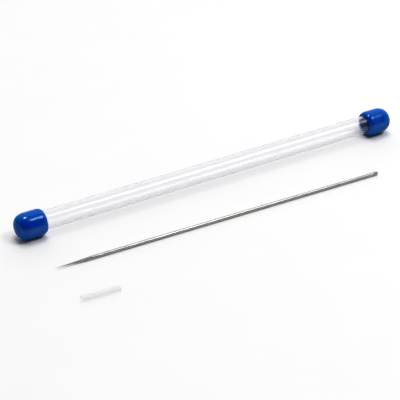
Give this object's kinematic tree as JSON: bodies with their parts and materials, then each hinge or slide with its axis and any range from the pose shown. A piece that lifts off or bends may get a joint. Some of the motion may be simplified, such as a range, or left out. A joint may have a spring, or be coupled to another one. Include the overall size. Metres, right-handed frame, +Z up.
{
  "type": "scratch awl",
  "caption": "Slim steel scratch awl needle with a long ground point, laid out beside its clear storage tube, the tube's push-on end caps and a soft sleeve that guards the point.",
  "frame": {"origin": "on the table plane, at the bottom centre of the laid-out set's bounding box", "axes": "+X along the storage tube towards the needle's flat rear end, +Y from the needle across to the tube, +Z up from the table"},
  "size_m": [0.164, 0.0532, 0.0098],
  "materials": {
    "clear_tube": "clear, smooth, extruded",
    "cap_vinyl": "glossy soft vinyl, blue",
    "needle_steel": "ground and polished",
    "guard_tube": "translucent, soft, satin"
  },
  "bodies": {
    "tube": {"storage_tube": "clear_tube"},
    "front_cap": {"front_cap": "cap_vinyl"},
    "rear_cap": {"rear_cap": "cap_vinyl"},
    "needle": {"awl_needle": "needle_steel"},
    "tip_guard": {"tip_guard": "guard_tube"}
  },
  "joints": [
    {"name": "front_cap_pull", "type": "slide", "parent": "tube", "child": "front_cap", "axis": [-1, 0, 0], "range_m": [0, 0.025]},
    {"name": "rear_cap_pull", "type": "slide", "parent": "tube", "child": "rear_cap", "axis": [1, 0, 0], "range_m": [0, 0.025]},
    {"name": "needle_slide", "type": "slide", "parent": "tube", "child": "needle", "axis": [0.9995, -0.0307, 0], "range_m": [0, 0.16]},
    {"name": "guard_slide", "type": "slide", "parent": "tube", "child": "tip_guard", "axis": [-0.9972, 0.075, 0], "range_m": [0, 0.02]}
  ]
}
